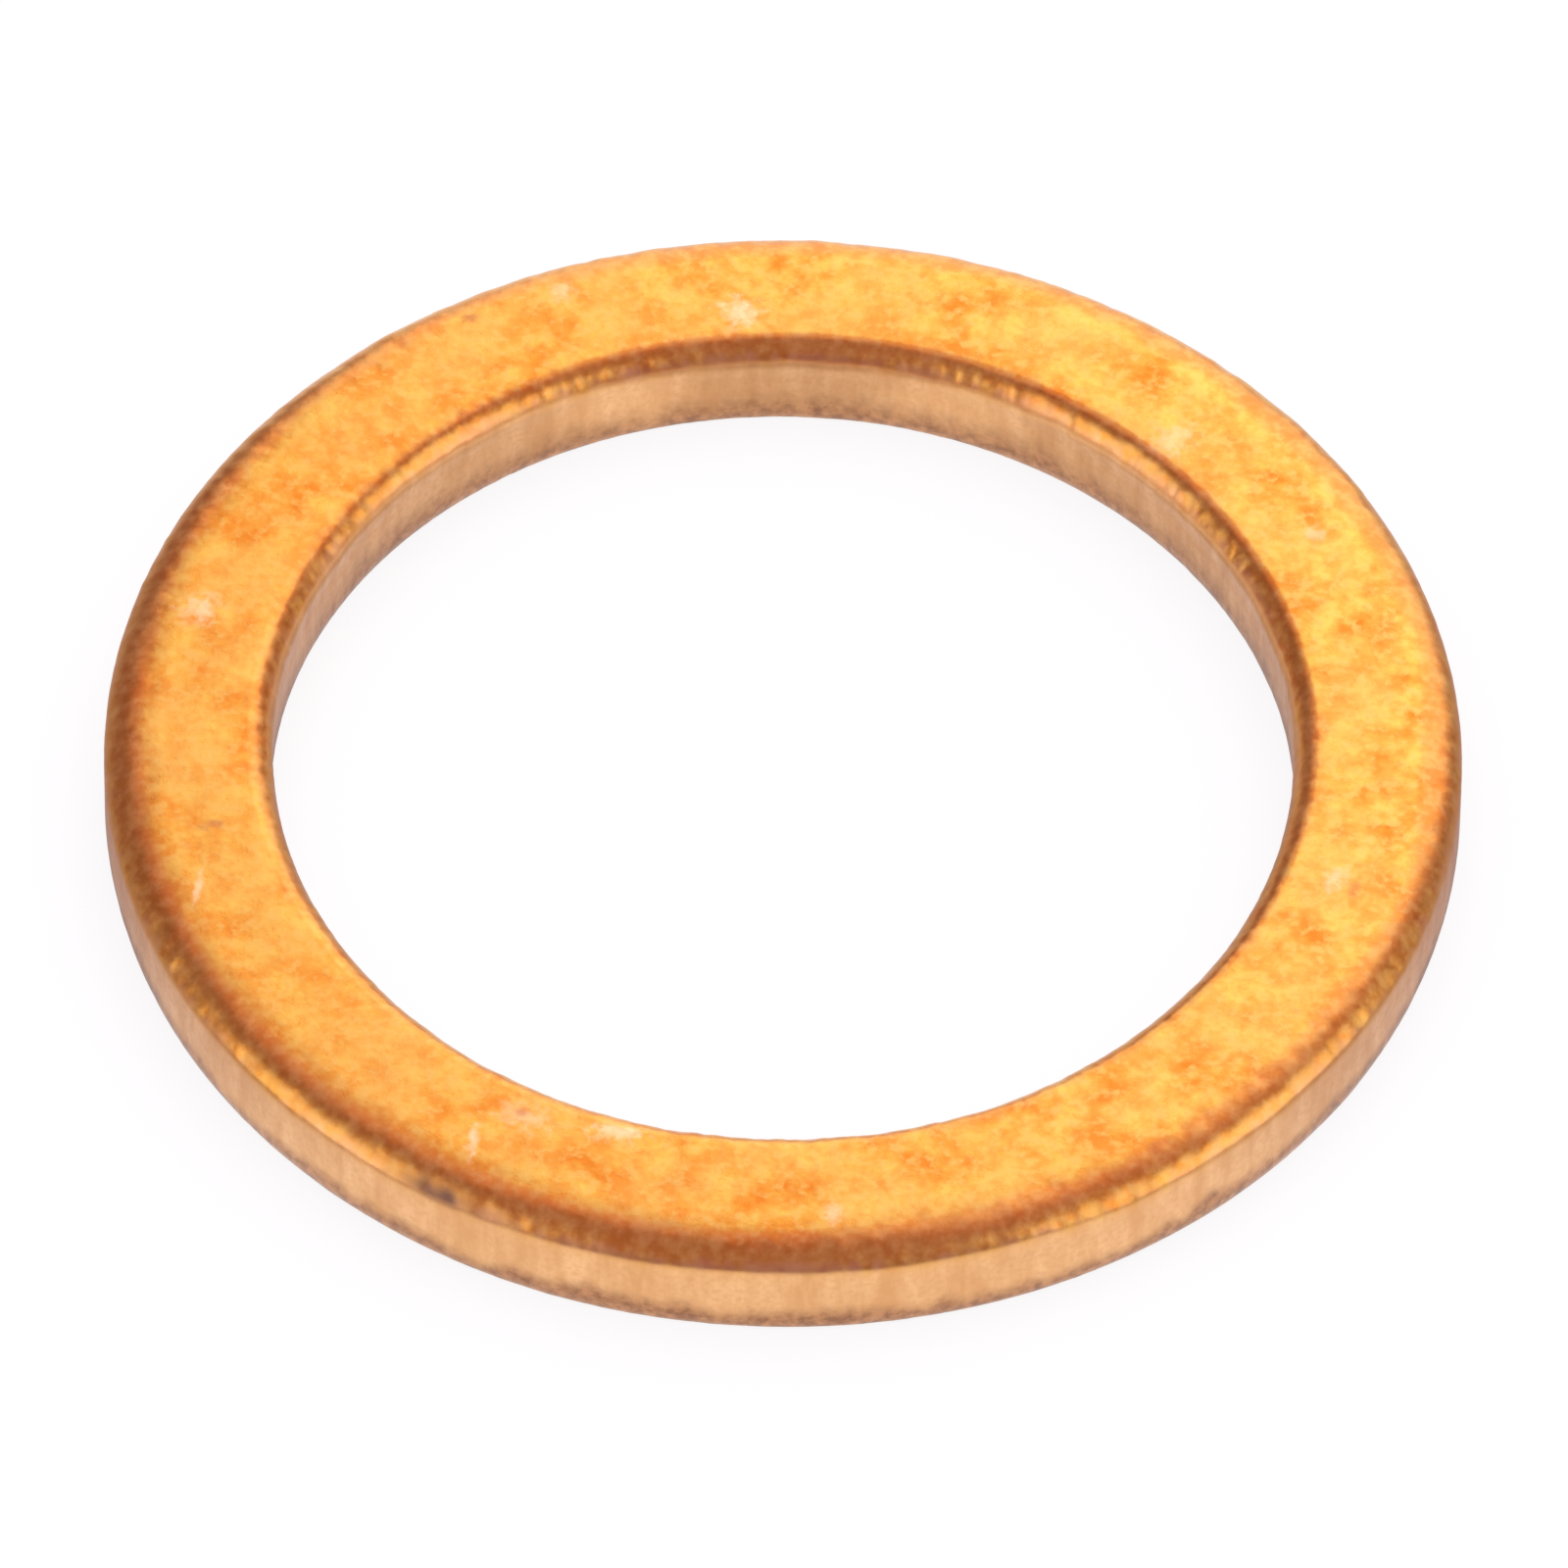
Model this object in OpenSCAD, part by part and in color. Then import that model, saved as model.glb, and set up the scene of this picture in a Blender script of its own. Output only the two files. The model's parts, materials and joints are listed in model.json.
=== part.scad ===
// Copper crush washer: one flat ring stamped from soft copper sheet, squeezed under a plug's head as a seal.
// The punch rolled the upper edges down; the lower edges broke away and were tumbled smooth.
// Millimetres, +Z up. The ring lies on Z = 0 and turns about the Z axis.

/* [Ring] */
// Diameter over the outer wall
outer_d = 24; // [12:0.1:60]
// Width of copper across the ring, from the outer wall to the bore that the plug's thread goes through
band_width = 2.95; // [2:0.01:5]
// Height from the lower face to the upper face
thickness = 1.95; // [1.6:0.05:3]

/* [Rolled upper edge of the outer wall] */
// Distance that the outer roll reaches across the upper face from the outer wall
outer_roll_width = 0.7; // [0.6:0.01:1]
// Distance that the outer roll reaches down the outer wall from the upper face
outer_roll_depth = 0.5; // [0.4:0.01:0.56]
// Radius at the lower end of the outer roll, where it meets the outer wall
outer_roll_nose_r = 0.3; // [0.1:0.01:0.36]

/* [Rolled upper edge of the bore] */
// Distance that the bore's roll reaches across the upper face from the bore
bore_roll_width = 0.42; // [0.38:0.01:0.46]
// Distance that the bore's roll reaches down the bore from the upper face
bore_roll_depth = 0.54; // [0.48:0.01:0.75]
// Radius at the upper end of the bore's roll, where it meets the upper face
bore_roll_nose_r = 0.3; // [0.2:0.01:0.35]

/* [Broken lower edges] */
// Distance that a broken edge reaches up its wall from the lower face
break_height = 0.38; // [0.3:0.01:0.5]
// Distance that a broken edge reaches across the lower face from its wall
break_width = 0.14; // [0.12:0.01:0.2]
// Radius at the lower end of a broken edge, where it meets the lower face
break_nose_r = 0.1; // [0.05:0.01:0.11]

/* [Hidden] */

// Colour of clean copper
copper = [0.86, 0.56, 0.35];
// Flats that stand in for a full turn when a curve is drawn
turn_steps = 180;

outer_r = outer_d / 2;
bore_r = outer_r - band_width;

// Each edge is two arcs that run into each other and round off a square corner. The shoulder leaves one
// surface of the corner at its reach from it, and the tighter nose meets the other surface at its drop.
// The shoulder's radius follows from the reach, the drop and the nose's radius.
function shoulder_r(reach, drop, nose_r) =
    (pow(reach - nose_r, 2) + pow(drop, 2) - pow(nose_r, 2)) / (2 * (drop - nose_r));

outer_roll_shoulder_r = shoulder_r(outer_roll_width, outer_roll_depth, outer_roll_nose_r);
bore_roll_shoulder_r = shoulder_r(bore_roll_depth, bore_roll_width, bore_roll_nose_r);
break_shoulder_r = shoulder_r(break_height, break_width, break_nose_r);

// Points of an edge, each as the distance from the corner along the shoulder's surface and into the copper:
// where the shoulder starts, where the arcs join, where the nose ends, and the centres of shoulder and nose
function edge_points(reach, drop, nose_r, shoulder) = [
    [reach, 0],
    [
        reach - shoulder * (reach - nose_r) / (shoulder - nose_r),
        shoulder - shoulder * (shoulder - drop) / (shoulder - nose_r)
    ],
    [0, drop],
    [reach, shoulder],
    [nose_r, drop]
];

// The same points as distance in from the wall and height: the outer roll has its shoulder on the upper face,
// the bore's roll has it on the bore wall, and a broken edge has it on its own wall
outer_roll = [
    for (p = edge_points(outer_roll_width, outer_roll_depth, outer_roll_nose_r, outer_roll_shoulder_r))
        [p[0], thickness - p[1]]
];
bore_roll = [
    for (p = edge_points(bore_roll_depth, bore_roll_width, bore_roll_nose_r, bore_roll_shoulder_r))
        [p[1], thickness - p[0]]
];
broken_edge = [
    for (p = edge_points(break_height, break_width, break_nose_r, break_shoulder_r))
        [p[1], p[0]]
];

// A wall's radius, and which way along the radius its copper lies
outer_wall = [outer_r, -1];
bore_wall = [bore_r, 1];
function on_wall(wall, point) = [wall[0] + wall[1] * point[0], point[1]];

// What the square-cornered section has beyond an arc's chord and outside the arc
module arc_waste(wall, centre, radius, start, end) {
    middle = on_wall(wall, centre);
    from = on_wall(wall, start);
    to = on_wall(wall, end);
    chord = to - from;
    across = [chord[1], -chord[0]];
    outward = across * sign(across * (from - middle));
    difference() {
        polygon([from - chord, to + chord, to + chord + outward, from - chord + outward]);
        translate(middle) circle(r = radius, $fn = turn_steps);
    }
}

// What one edge takes off its corner, arc by arc
module edge_waste(wall, edge, shoulder, nose_r) {
    arc_waste(wall, edge[3], shoulder, edge[0], edge[1]);
    arc_waste(wall, edge[4], nose_r, edge[1], edge[2]);
}

// Section of the ring, bore wall to outer wall
module section() {
    difference() {
        translate([bore_r, 0]) square([band_width, thickness]);
        edge_waste(outer_wall, outer_roll, outer_roll_shoulder_r, outer_roll_nose_r);
        edge_waste(outer_wall, broken_edge, break_shoulder_r, break_nose_r);
        edge_waste(bore_wall, bore_roll, bore_roll_shoulder_r, bore_roll_nose_r);
        edge_waste(bore_wall, broken_edge, break_shoulder_r, break_nose_r);
    }
}

module washer() {
    color(copper) rotate_extrude($fn = turn_steps) section();
}

washer();
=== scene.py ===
import json
import math

import bpy
import numpy as np
from mathutils import Matrix, Vector


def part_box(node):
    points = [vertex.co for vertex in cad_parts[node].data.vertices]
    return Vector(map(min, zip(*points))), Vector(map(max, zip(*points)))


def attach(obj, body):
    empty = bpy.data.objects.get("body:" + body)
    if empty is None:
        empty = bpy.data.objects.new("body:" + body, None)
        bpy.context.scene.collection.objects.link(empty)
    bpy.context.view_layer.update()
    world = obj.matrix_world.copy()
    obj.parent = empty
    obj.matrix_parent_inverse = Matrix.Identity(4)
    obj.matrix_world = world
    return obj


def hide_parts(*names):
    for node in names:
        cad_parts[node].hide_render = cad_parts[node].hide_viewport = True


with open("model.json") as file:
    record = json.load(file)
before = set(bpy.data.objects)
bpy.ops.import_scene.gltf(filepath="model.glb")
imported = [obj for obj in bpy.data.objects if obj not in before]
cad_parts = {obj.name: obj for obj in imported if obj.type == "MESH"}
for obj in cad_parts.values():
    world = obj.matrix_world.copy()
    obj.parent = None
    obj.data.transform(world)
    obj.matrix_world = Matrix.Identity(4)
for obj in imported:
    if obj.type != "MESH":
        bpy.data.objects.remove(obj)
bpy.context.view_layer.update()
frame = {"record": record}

# Washer
# One flat ring blanked out of soft copper sheet. The punch drew the upper edges down into soft
# rolls, sheared the walls below them along fine upright lines, and broke the last of the sheet
# away. Tumbling then dulled every edge. Its lengths are in millimetres.
MM = 0.001
high_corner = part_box("washer")[1]
outer_r = high_corner.x / MM
thickness = high_corner.z / MM
bore_r = next(m["dims"]["r_mm"] for m in frame["record"]["mounts"] if m["name"] == "bore")
outer_roll_width, outer_roll_depth, outer_roll_nose_r = 0.7, 0.5, 0.3
bore_roll_width, bore_roll_depth, bore_roll_nose_r = 0.42, 0.54, 0.3
break_height, break_width, break_nose_r = 0.38, 0.14, 0.1
turn_steps = 1200
face_steps, outer_wall_steps, under_steps, bore_wall_steps = 14, 11, 5, 10
roll_shoulder_steps, roll_nose_steps = 9, 5
break_shoulder_steps, break_nose_steps = 4, 3


def rounded_corner(reach, drop, nose_r, shoulder_steps, nose_steps):
    """Points of a corner's two arcs, as distance along the shoulder's surface and into the copper."""
    shoulder_r = ((reach - nose_r) ** 2 + drop ** 2 - nose_r ** 2) / (2 * (drop - nose_r))
    turn = math.atan2(reach - nose_r, shoulder_r - drop)
    shoulder = np.linspace(0, turn, shoulder_steps + 1)
    nose = np.linspace(turn, math.pi / 2, nose_steps + 1)[1:]
    along = np.concatenate([reach - shoulder_r * np.sin(shoulder), nose_r - nose_r * np.sin(nose)])
    into = np.concatenate([shoulder_r - shoulder_r * np.cos(shoulder), drop - nose_r * np.cos(nose)])
    return along, into


def between(start, end, steps):
    """Even steps from start to end, without the two ends."""
    return np.linspace(start, end, steps + 1)[1:-1]


# The section runs from the bore's roll across the upper face, down the outer wall, back under the
# ring and up the bore. Points of the face lie closer together towards the rolls.
face_in, face_out = bore_r + bore_roll_width, outer_r - outer_roll_width
face_swing = np.cos(np.linspace(0, math.pi, face_steps + 1))[:-1]
face_r = (face_in + face_out) / 2 - (face_out - face_in) / 2 * face_swing
section = [(r, thickness) for r in face_r]
along, into = rounded_corner(outer_roll_width, outer_roll_depth, outer_roll_nose_r,
                             roll_shoulder_steps, roll_nose_steps)
section += [(outer_r - a, thickness - i) for a, i in zip(along, into)]
outer_wall_z = between(thickness - outer_roll_depth, break_height, outer_wall_steps)
section += [(outer_r, z) for z in outer_wall_z]
along, into = rounded_corner(break_height, break_width, break_nose_r,
                             break_shoulder_steps, break_nose_steps)
section += [(outer_r - i, a) for a, i in zip(along, into)]
section += [(r, 0.0) for r in between(outer_r - break_width, bore_r + break_width, under_steps)]
section += [(bore_r + i, a) for a, i in zip(along[::-1], into[::-1])]
section += [(bore_r, z) for z in between(break_height, thickness - bore_roll_depth, bore_wall_steps)]
along, into = rounded_corner(bore_roll_depth, bore_roll_width, bore_roll_nose_r,
                             roll_shoulder_steps, roll_nose_steps)
section += [(bore_r + i, thickness - a) for a, i in zip(along[:-1], into[:-1])]
section = np.array(section)
step_on = np.roll(section, -1, 0) - section
run = np.concatenate([[0.0], np.cumsum(np.hypot(*step_on.T))])
girth, run = run[-1], run[:-1]
tangent = np.roll(section, -1, 0) - np.roll(section, 1, 0)
normal = np.stack([-tangent[:, 1], tangent[:, 0]], 1)
normal /= np.hypot(*normal.T)[:, None]
radius, height = section.T
turn = np.linspace(0, 2 * math.pi, turn_steps, endpoint=False)
shop_dice = np.random.default_rng(24)


def worn_noise(around, across):
    """Even random relief over the whole skin of the ring, as soft as the two lengths."""
    girth_steps = 256
    white = shop_dice.standard_normal((turn_steps, girth_steps))
    soft_around = around / (2 * math.pi * outer_r) * np.fft.fftfreq(turn_steps, 1 / turn_steps)
    soft_across = across / girth * np.fft.fftfreq(girth_steps, 1 / girth_steps)
    keep = np.exp(-2 * (math.pi * soft_around[:, None]) ** 2 - 2 * (math.pi * soft_across[None, :]) ** 2)
    soft = np.fft.ifft2(np.fft.fft2(white) * keep).real
    soft /= soft.std()
    place = run / girth * girth_steps
    start = place.astype(int)
    part = place - start
    return soft[:, start] * (1 - part) + soft[:, (start + 1) % girth_steps] * part


def ease(x):
    """A smooth step from 0 to 1."""
    x = np.clip(x, 0, 1)
    return x * x * (3 - 2 * x)


# How much of a point is rolled edge, sheared wall, or broken edge with painted shade above it; every border
# is a little ragged.
on_outer = radius > (outer_r + bore_r) / 2
from_wall = np.where(on_outer, outer_r - radius, radius - bore_r)
drop = thickness - height
fine_ragged = worn_noise(0.07, 0.4)
roll_reach = np.where(on_outer, outer_roll_width, bore_roll_width)
roll_wander = 0.014 * worn_noise(0.10, 0.5) + 0.035 * worn_noise(0.4, 2.0)
roll_past, roll_fade, roll_lowest = 0.10, 0.28, 0.9
rolled = ease((roll_reach + roll_past + roll_wander - from_wall) / roll_fade) * (height > roll_lowest)
outer_wall_drop, bore_wall_drop, wall_fade = 0.26, 0.17, 0.13
wall_start = np.where(on_outer, outer_wall_drop, bore_wall_drop)
wall_start = wall_start + 0.04 * fine_ragged + 0.03 * worn_noise(0.5, 3.0)
wall_skin, wall_skin_fade = 0.08, 0.14
wall = 1 - np.exp(-np.maximum(drop - wall_start, 0) / wall_fade)
wall = wall * ease(1 - (from_wall - wall_skin) / wall_skin_fade)
# The broken tone covers the real torn foot of each wall and spreads upwards from it as painted shade, a
# little on the outer wall and far up the bore, darker towards the bottom.
outer_torn_and_shade_top, bore_torn_and_shade_top = 0.46, 0.57
torn_and_shade_top = np.where(on_outer, outer_torn_and_shade_top, bore_torn_and_shade_top)
torn_and_shade_top = torn_and_shade_top + 0.05 * worn_noise(0.7, 3.0) + 0.05 * worn_noise(0.12, 3.0)
outer_torn_and_shade_fade, bore_torn_and_shade_fade, torn_and_shade_skin, off_the_floor = 0.42, 0.9, 0.3, 0.0005
torn_and_shade_fade = np.where(on_outer, outer_torn_and_shade_fade, bore_torn_and_shade_fade)
broken = ease((torn_and_shade_top - height) / torn_and_shade_fade + 0.5) * (from_wall < torn_and_shade_skin) * (height > off_the_floor)

# Relief: shear lines on the walls that run up into the rolls, torn pits on the broken edges, a
# hammered grain on the rolls and a faint ripple on the faces.
line_depth, line_lost_on_wall, pit_depth, grain_depth, ripple_depth = 0.0040, 0.0024, 0.0012, 0.0030, 0.0016
line_start, line_fade, line_lowest = 0.05, 0.2, 0.02
streak = 0.5 * worn_noise(0.05, 0.3) + 0.8 * worn_noise(0.25, 0.9)
drawn = ease((drop - line_start) / line_fade) * (height > line_lowest)
relief = (line_depth - line_lost_on_wall * wall) * drawn * streak
relief += pit_depth * broken * worn_noise(0.09, 0.12)
relief += grain_depth * rolled * (1 - wall) * worn_noise(0.07, 0.09)
relief += ripple_depth * worn_noise(0.4, 0.4) * (1 - wall)

# The rolls sag unevenly, and the face leans over a little before each of them.
wide_sag, outer_fine_sag, bore_fine_sag = 0.006, 0.006, 0.0035
sag_fade, sag_lowest, sag_low_fade = 0.2, 0.5, 0.5
sag = wide_sag * worn_noise(1.1, 3.0)
sag = sag + np.where(on_outer, outer_fine_sag, bore_fine_sag) * worn_noise(0.12, 3.0)
sag = sag * ease(drop / sag_fade) * ease((height - sag_lowest) / sag_low_fade)
outer_lean, bore_lean, lean_rough = 0.021, 0.006, 0.0015
lean_past, lean_fade, lean_lowest = 0.26, 0.46, 1.0
leaning = ease((roll_reach + lean_past + roll_wander - from_wall) / lean_fade) * (height > lean_lowest)
sag = sag + (np.where(on_outer, outer_lean, bore_lean) + lean_rough * worn_noise(0.12, 0.12)) * leaning

# The bore's roll is full at its foot and, less so, over its shoulder.
foot_full, foot_drop, foot_spread = 0.040, 0.39, 0.22
shoulder_full, shoulder_in, shoulder_spread = 0.009, 0.2, 0.12
bore_full = foot_full * np.exp(-((drop - foot_drop - roll_wander) / foot_spread) ** 2)
bore_full = bore_full + shoulder_full * np.exp(-((from_wall - shoulder_in) / shoulder_spread) ** 2)
relief += bore_full * ~on_outer * (height > roll_lowest)

# One nick is struck in the front of the outer roll.
nick_turn, nick_height = math.radians(240.8), 1.66
nick_half_length, nick_half_height, nick_skin = 0.8, 0.13, 0.4
nick_depth, nick_rough = 0.02, 0.008
nick_along = (turn[:, None] - nick_turn) * outer_r / nick_half_length
nick_up = (height - nick_height) / nick_half_height
nick = np.exp(-nick_along ** 2 - nick_up ** 2) * (from_wall < nick_skin) * on_outer
nick = nick * (0.55 + 0.45 * ease(0.5 + 0.6 * worn_noise(0.16, 0.12)))
relief -= nick * (nick_depth + nick_rough * worn_noise(0.08, 0.1))

skin_r = radius + normal[:, 0] * relief
skin_z = height + normal[:, 1] * relief - sag
skin = [skin_r * np.cos(turn)[:, None], skin_r * np.sin(turn)[:, None], skin_z]
verts = np.stack(skin, -1).reshape(-1, 3) * MM
count = len(section)
here = np.arange(turn_steps)[:, None] * count
there = (np.arange(turn_steps)[:, None] + 1) % turn_steps * count
this = np.arange(count)[None, :]
following = (this + 1) % count
quads = np.stack([here + this, there + this, there + following, here + following], -1).reshape(-1, 4)
ring = bpy.data.meshes.new("washer_skin")
ring.from_pydata(verts.tolist(), [], quads.tolist())
ring.polygons.foreach_set("use_smooth", [True] * len(ring.polygons))
for name, amount in (("rolled", rolled), ("wall", wall), ("broken", broken), ("nicked", nick)):
    spread = ring.attributes.new(name, "FLOAT", "POINT")
    spread.data.foreach_set("value", np.broadcast_to(amount, relief.shape).reshape(-1).astype(np.float32))
ring.update()
washer = bpy.data.objects.new("copper_washer", ring)
bpy.context.scene.collection.objects.link(washer)

# The helpers below put their nodes into the material that nodes and links were last taken from.
copper = bpy.data.materials.new("copper_tumbled")
copper.use_nodes = True
nodes, links = copper.node_tree.nodes, copper.node_tree.links
shader = nodes["Principled BSDF"]
shader.inputs["Metallic"].default_value = 1.0


def feed(socket, value):
    """Links a node's output to the socket, or sets the socket to a plain value."""
    if isinstance(value, bpy.types.NodeSocket):
        links.new(value, socket)
    else:
        socket.default_value = value


def put(kind, **inputs):
    """A new node with these inputs."""
    node = nodes.new(kind)
    for key, value in inputs.items():
        feed(node.inputs[key.replace("_", " ")], value)
    return node


def spread_of(name):
    """One of the amounts stored on the skin."""
    node = nodes.new("ShaderNodeAttribute")
    node.attribute_name = name
    return node.outputs["Fac"]


def mottle(place, scale, detail=2.0, roughness=0.5):
    """Cloudy noise; the scale is in clouds per metre."""
    node = put("ShaderNodeTexNoise", Vector=place, Scale=scale, Detail=detail, Roughness=roughness)
    return node.outputs["Fac"]


def blend(amount, first, second):
    """The first tone where the amount is 0, and the second where it is 1."""
    node = nodes.new("ShaderNodeMix")
    node.data_type = "RGBA"
    for name, value in (("Factor", amount), ("A", first), ("B", second)):
        feed(node.inputs[name], value)
    return node.outputs["Result"]


def ranged(value, low, high, to_low=0.0, to_high=1.0):
    """The value moved from the range low to high into the range to_low to to_high, and held there."""
    node = put("ShaderNodeMapRange", Value=value, From_Min=low, From_Max=high, To_Min=to_low, To_Max=to_high)
    return node.outputs["Result"]


def worked(operation, first, second=0.0):
    """Arithmetic on one or two values."""
    node = nodes.new("ShaderNodeMath")
    node.operation = operation
    for socket, value in zip(node.inputs, (first, second)):
        feed(socket, value)
    return node.outputs[0]


# Tones of the copper, as red, green, blue and alpha
face_deep, face_pale = (0.76, 0.24, 0.006, 1), (0.89, 0.66, 0.104, 1)
face_drift = (0.88, 0.60, 0.118, 1)
grain_pale, grain_deep = (0.90, 0.67, 0.145, 1), (0.72, 0.28, 0.018, 1)
left_side_painted_shade = (0.78, 0.36, 0.028, 1)
roll_deep, roll_pale = (0.79, 0.29, 0.045, 1), (0.92, 0.44, 0.108, 1)
scuff_pale, mark_brown = (0.98, 0.78, 0.38, 1), (0.57, 0.23, 0.06, 1)
wall_deep, wall_pale, wall_fleck = (0.79, 0.40, 0.158, 1), (0.97, 0.555, 0.258, 1), (0.76, 0.38, 0.140, 1)
# Tones of the torn foot of the walls, also used as painted shade up the walls
torn_and_shaded_deep, torn_and_shaded_pale = (0.33, 0.14, 0.062, 1), (0.60, 0.28, 0.125, 1)
nick_dark = (0.28, 0.155, 0.09, 1)
place = nodes.new("ShaderNodeTexCoord").outputs["Object"]
drift = mottle(place, 500)
clouds = mottle(place, 1700, 3.0, 0.6)
grains = mottle(place, 4500, 2.0, 0.6)
flecks = mottle(place, 9000)
face_tone = blend(ranged(clouds, 0.33, 0.67), face_deep, face_pale)
face_tone = blend(ranged(drift, 0.40, 0.68, 0.0, 0.60), face_tone, face_drift)
face_tone = blend(ranged(grains, 0.50, 0.66, 0.0, 0.65), face_tone, grain_pale)
face_tone = blend(ranged(grains, 0.50, 0.26, 0.0, 0.5), face_tone, grain_deep)
# Painted shade: the upper face grows deeper orange from its right rim to its left rim, up to 0.28 of this
# tone
to_the_right = put("ShaderNodeSeparateXYZ", Vector=place).outputs["X"]
face_tone = blend(ranged(to_the_right, outer_r * MM, -outer_r * MM, 0.0, 0.28), face_tone, left_side_painted_shade)
roll_tone = blend(ranged(grains, 0.36, 0.64), roll_deep, roll_pale)

# Marks of handling on the upper face, as x, y, angle in degrees, length, width and strength
pale_scuffs = (
    (-0.88, 9.90, 0, 1.00, 1.00, 0.8), (-10.37, 2.73, 30, 1.05, 0.95, 0.7),
    (-2.78, -9.15, 0, 1.30, 0.70, 0.8), (-4.40, -8.85, -20, 1.50, 0.80, 0.5),
    (0.97, -10.94, 0, 0.45, 0.75, 0.6), (9.40, 4.81, 0, 0.60, 0.60, 0.5),
    (-4.07, 10.32, 0, 0.60, 0.80, 0.5), (6.87, 6.98, 45, 1.40, 0.90, 0.5),
    (9.75, -3.17, 60, 0.85, 0.55, 0.6), (-10.25, -3.74, 80, 1.10, 0.20, 0.7),
    (-5.32, -9.41, 85, 1.10, 0.28, 0.8),
)
brown_marks = (
    (10.09, -3.39, 60, 0.70, 0.40, 0.6), (-5.73, 9.70, 0, 0.50, 0.40, 0.7),
    (-10.04, -2.28, 10, 0.65, 0.32, 0.7), (6.55, -9.31, 60, 0.70, 0.36, 0.6),
    (-4.46, -8.72, 0, 0.40, 0.34, 0.6),
)
mark = bpy.data.node_groups.new("mark", "ShaderNodeTree")
mark_sockets = (
    ("Place", "Vector"), ("Centre", "Vector"), ("Angle", "Float"), ("Size", "Vector"), ("Strength", "Float"),
)
for name, kind in mark_sockets:
    mark.interface.new_socket(name, in_out="INPUT", socket_type="NodeSocket" + kind)
mark.interface.new_socket("Amount", in_out="OUTPUT", socket_type="NodeSocketFloat")
mark_in = mark.nodes.new("NodeGroupInput")
mark_out = mark.nodes.new("NodeGroupOutput")
from_centre = mark.nodes.new("ShaderNodeVectorMath")
from_centre.operation = "SUBTRACT"
turned = mark.nodes.new("ShaderNodeVectorRotate")
turned.rotation_type = "Z_AXIS"
turned.invert = True
sized = mark.nodes.new("ShaderNodeVectorMath")
sized.operation = "DIVIDE"
far_off = mark.nodes.new("ShaderNodeVectorMath")
far_off.operation = "LENGTH"
rough_rim = mark.nodes.new("ShaderNodeTexNoise")
rough_rim.inputs["Scale"].default_value = 6500
rough_rim.inputs["Detail"].default_value = 3.0
uneven = mark.nodes.new("ShaderNodeMath")
uneven.operation = "MULTIPLY_ADD"
uneven.inputs[1].default_value = 1.8
fade = mark.nodes.new("ShaderNodeMapRange")
fade.interpolation_type = "SMOOTHSTEP"
fade.inputs["From Min"].default_value = 1.9
fade.inputs["From Max"].default_value = 0.9
for start, end in (
    (mark_in.outputs["Place"], from_centre.inputs[0]),
    (mark_in.outputs["Centre"], from_centre.inputs[1]),
    (from_centre.outputs[0], turned.inputs["Vector"]),
    (mark_in.outputs["Angle"], turned.inputs["Angle"]),
    (turned.outputs[0], sized.inputs[0]),
    (mark_in.outputs["Size"], sized.inputs[1]),
    (sized.outputs[0], far_off.inputs[0]),
    (mark_in.outputs["Place"], rough_rim.inputs["Vector"]),
    (rough_rim.outputs["Fac"], uneven.inputs[0]),
    (far_off.outputs["Value"], uneven.inputs[2]),
    (uneven.outputs[0], fade.inputs["Value"]),
    (mark_in.outputs["Strength"], fade.inputs["To Max"]),
    (fade.outputs["Result"], mark_out.inputs["Amount"]),
):
    mark.links.new(start, end)


def marks(rows):
    """The strongest of all these marks at each place."""
    most = None
    for x, y, angle, length, width, strength in rows:
        node = nodes.new("ShaderNodeGroup")
        node.node_tree = mark
        links.new(place, node.inputs["Place"])
        node.inputs["Centre"].default_value = (x * MM, y * MM, thickness * MM)
        node.inputs["Angle"].default_value = math.radians(angle)
        node.inputs["Size"].default_value = (length / 2 * MM, width / 2 * MM, MM)
        node.inputs["Strength"].default_value = strength
        amount = node.outputs["Amount"]
        most = amount if most is None else worked("MAXIMUM", most, amount)
    return most


face_tone = blend(marks(pale_scuffs), face_tone, scuff_pale)
face_tone = blend(marks(brown_marks), face_tone, mark_brown)
lines = put("ShaderNodeMapping", Vector=place, Scale=(1.0, 1.0, 0.22)).outputs["Vector"]
shear = mottle(lines, 2600, 3.0, 0.55)
wall_tone = blend(ranged(shear, 0.32, 0.68), wall_deep, wall_pale)
wall_tone = blend(ranged(flecks, 0.44, 0.70, 0.0, 0.45), wall_tone, wall_fleck)
torn_and_shade_mottle = mottle(place, 5000, 3.0, 0.6)
torn_and_shaded_tone = blend(ranged(torn_and_shade_mottle, 0.35, 0.65), torn_and_shaded_deep, torn_and_shaded_pale)
tone = blend(ranged(spread_of("rolled"), 0.0, 1.0, 0.0, 0.62), face_tone, roll_tone)
tone = blend(spread_of("wall"), tone, wall_tone)
# Torn edge and painted shade: darker towards the foot of the walls, reaching far up the bore
tone = blend(spread_of("broken"), tone, torn_and_shaded_tone)
tone = blend(spread_of("nicked"), tone, nick_dark)
links.new(tone, shader.inputs["Base Color"])
shader.inputs["Coat Weight"].default_value = 0.27
shader.inputs["Coat Roughness"].default_value = 0.25
dull = ranged(grains, 0.3, 0.7, 0.26, 0.37)
dull = worked("ADD", dull, ranged(spread_of("rolled"), 0.0, 1.0, 0.0, 0.04))
dull = worked("ADD", dull, ranged(spread_of("nicked"), 0.0, 1.0, 0.0, 0.25))
links.new(dull, shader.inputs["Roughness"])
bump = put("ShaderNodeBump", Strength=0.14, Distance=0.02 * MM, Height=flecks)
links.new(bump.outputs["Normal"], shader.inputs["Normal"])
ring.materials.append(copper)
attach(washer, "root")
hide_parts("washer")
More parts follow.
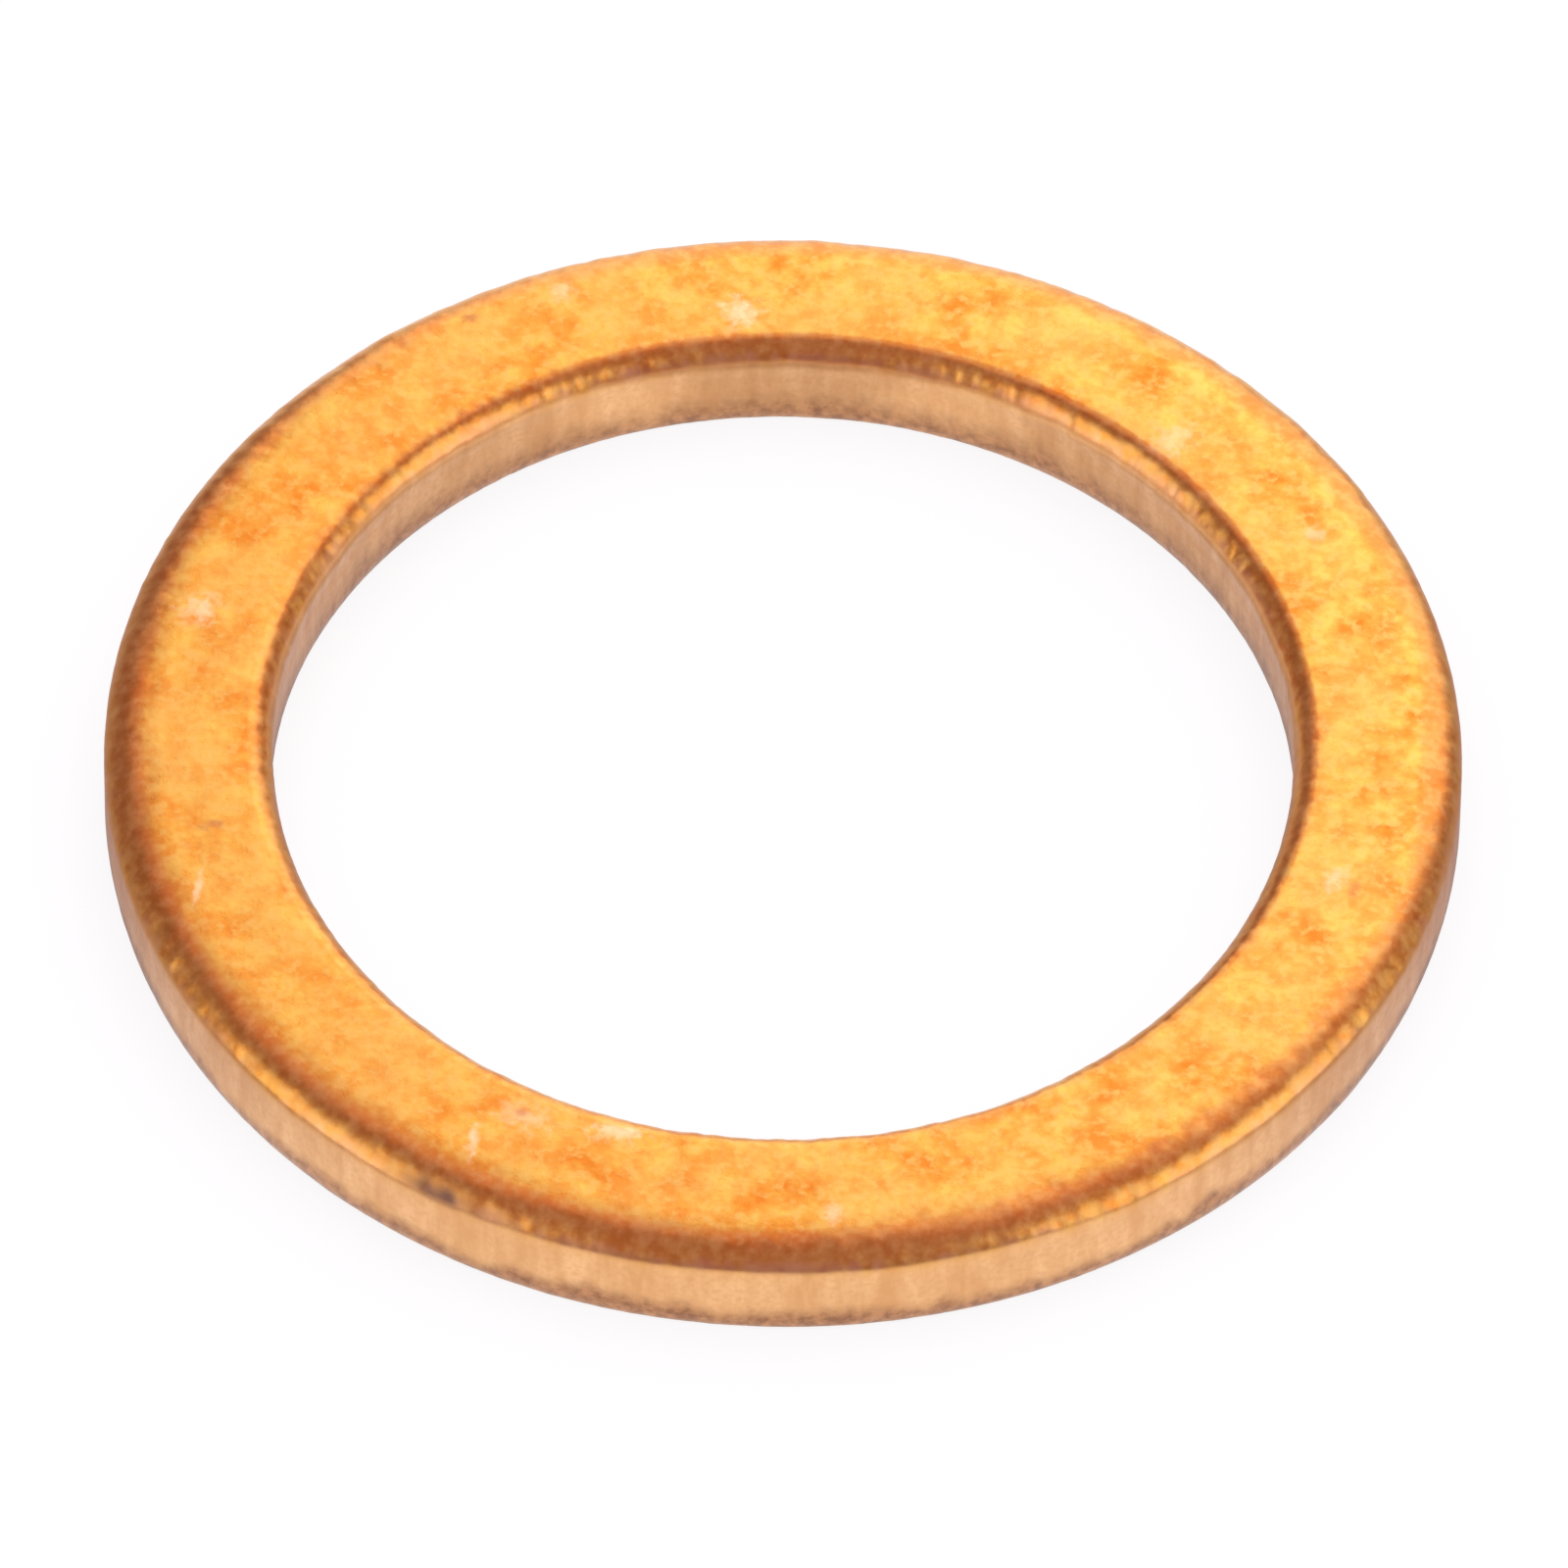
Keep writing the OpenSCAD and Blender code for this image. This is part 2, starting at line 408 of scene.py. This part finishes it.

# Floor
# A wide sheet of matt white board that the ring lies on; it fills the view and keeps the ring's
# soft shadow. Mirrored in the copper, it glows with painted light and painted shade instead of lamp light.
floor_size = 6.0
half = floor_size / 2
board = bpy.data.meshes.new("board")
board_corners = [(-half, -half, 0), (half, -half, 0), (half, half, 0), (-half, half, 0)]
board.from_pydata(board_corners, [], [(0, 1, 2, 3)])
floor = bpy.data.objects.new("floor", board)
bpy.context.scene.collection.objects.link(floor)
white_board = bpy.data.materials.new("white_board")
white_board.use_nodes = True
nodes, links = white_board.node_tree.nodes, white_board.node_tree.links
nodes.clear()
board_white = 0.9
glow_share = 0.85
# Painted light and painted shade tones of the board, seen only in the copper's mirror
painted_light_tone, painted_shade_tone = (1, 1, 1, 1), (0.34, 0.26, 0.25, 1)
matt = put("ShaderNodeBsdfDiffuse", Color=(board_white, board_white, board_white, 1))
spot = nodes.new("ShaderNodeTexCoord").outputs["Object"]
spot_xyz = put("ShaderNodeSeparateXYZ", Vector=spot)
aside = worked("ABSOLUTE", spot_xyz.outputs["X"])
to_the_back = spot_xyz.outputs["Y"]
out_from_middle = nodes.new("ShaderNodeVectorMath")
out_from_middle.operation = "LENGTH"
links.new(spot, out_from_middle.inputs[0])
# Painted light on the board, as distances from the middle of the ring: bright patches in front of and behind
# the ring within a band across it, and narrow strips inside it; painted shade elsewhere
painted_light_along = ranged(aside, 8.5 * MM, 15 * MM, 1.0, 0.0)
painted_light_by_ring = ranged(out_from_middle.outputs["Value"], 6.8 * MM, 9 * MM)
painted_light_in_front = ranged(to_the_back, 0.0, -5 * MM)
painted_light_near = ranged(to_the_back, -14 * MM, -40 * MM, 1.0, 0.0)
painted_light_in_front = worked("MULTIPLY", painted_light_in_front, painted_light_near)
painted_light_behind = ranged(to_the_back, 0.0, 8 * MM, 0.1, 1.0)
painted_light_off_middle = ranged(aside, 0.3 * MM, 1.8 * MM)
painted_light_off_sides = ranged(aside, 3 * MM, 4.8 * MM, 1.0, 0.0)
painted_light_aside = worked("MULTIPLY", painted_light_off_middle, painted_light_off_sides)
painted_light_inside = worked("MAXIMUM", worked("MULTIPLY", painted_light_by_ring, painted_light_behind), painted_light_aside)
painted_light_amount = worked("MULTIPLY", painted_light_along, worked("MAXIMUM", painted_light_inside, painted_light_in_front))
# Seen straight on, the board glows evenly white; mirrored in the copper it shows the painted light and
# painted shade
path = nodes.new("ShaderNodeLightPath")
seen = worked("MAXIMUM", path.outputs["Is Camera Ray"], path.outputs["Is Transmission Ray"])
glow_tone = blend(worked("MAXIMUM", seen, painted_light_amount), painted_shade_tone, painted_light_tone)
glow = put("ShaderNodeEmission", Color=glow_tone, Strength=1.0)
share = worked("MULTIPLY", worked("MAXIMUM", seen, path.outputs["Is Glossy Ray"]), glow_share)
both = nodes.new("ShaderNodeMixShader")
links.new(share, both.inputs[0])
links.new(matt.outputs[0], both.inputs[1])
links.new(glow.outputs[0], both.inputs[2])
out = nodes.new("ShaderNodeOutputMaterial")
links.new(both.outputs[0], out.inputs["Surface"])
board.materials.append(white_board)

# Studio light
# A soft box and a card behind the ring with two faint halos about them, a box at each front side
# and a faint one in front, in a dim tinted room, and a soft lamp overhead for the floor alone.
room_tone = (0.30, 0.183, 0.285, 1)
room = bpy.data.worlds.new("room")
bpy.context.scene.world = room
room.use_nodes = True
room.node_tree.nodes["Background"].inputs["Color"].default_value = room_tone


def soft_box(name, azimuth, elevation, width, tall, level, far=0.5, mirrored=True, tone=(1, 1, 1)):
    """A box at these angles and angular sizes from the ring; azimuth 0 is straight back, 90 right."""
    az, el = math.radians(azimuth), math.radians(elevation)
    lamp = bpy.data.lights.new(name, "AREA")
    lamp.shape = "RECTANGLE"
    lamp.size = 2 * far * math.tan(math.radians(width / 2))
    lamp.size_y = 2 * far * math.tan(math.radians(tall / 2))
    lamp.energy = math.pi * lamp.size * lamp.size_y * level
    lamp.color = tone
    box = bpy.data.objects.new(name, lamp)
    away = Vector((math.sin(az) * math.cos(el), math.cos(az) * math.cos(el), math.sin(el)))
    box.location = away * far
    box.rotation_euler = away.to_track_quat("Z", "Y").to_euler()
    box.visible_camera = False
    box.visible_glossy = mirrored
    bpy.context.scene.collection.objects.link(box)


soft_box("back_box", azimuth=26, elevation=50, width=44, tall=16, level=1.2)
soft_box("back_card", azimuth=15, elevation=20.5, width=58, tall=43, level=1.05)
soft_box("back_halo", azimuth=21, elevation=55, width=80, tall=80, level=0.27, far=0.55,
         tone=(1.0, 0.42, 0.75))
soft_box("top_halo", azimuth=3, elevation=70, width=44, tall=24, level=0.35, tone=(1.0, 0.85, 1.0))
soft_box("left_box", azimuth=-115, elevation=20, width=42, tall=40, level=1.3)
soft_box("right_box", azimuth=111, elevation=20, width=50, tall=40, level=1.3)
soft_box("front_box", azimuth=180, elevation=50, width=80, tall=60, level=0.12, tone=(1.0, 0.62, 1.0))
soft_box("overhead", azimuth=0, elevation=90, width=90, tall=90, level=1.2, mirrored=False)

# Camera
# A long lens from the front, looking down on the ring, placed so that the ring's outlines fall as
# in the photograph. Its distance and scale go by the ring's outer radius.
radii_away = 38
pixels_per_radius = 691.25
picture = 1600
centre_x, centre_y = 798.40, 821.90
camera_elevation = math.radians(49.696)
camera_roll = math.radians(0.760)
camera_data = bpy.data.cameras.new("camera")
camera = bpy.data.objects.new("camera", camera_data)
bpy.context.scene.collection.objects.link(camera)
camera_data.sensor_width = 36.0
camera_data.lens = pixels_per_radius * radii_away / picture * camera_data.sensor_width
camera_data.shift_x = (picture / 2 - centre_x) / picture
camera_data.shift_y = (centre_y - picture / 2) / picture
camera_data.clip_start = 0.01
back = Vector((0, -math.cos(camera_elevation), math.sin(camera_elevation)))
across = Vector((1, 0, 0))
upward = back.cross(across)
right = across * math.cos(camera_roll) + upward * math.sin(camera_roll)
top = upward * math.cos(camera_roll) - across * math.sin(camera_roll)
stand = Matrix((right, top, back)).transposed().to_4x4()
stand.translation = back * (radii_away * outer_r * MM)
camera.matrix_world = stand
bpy.context.scene.camera = camera
bpy.context.scene.view_settings.view_transform = "Standard"
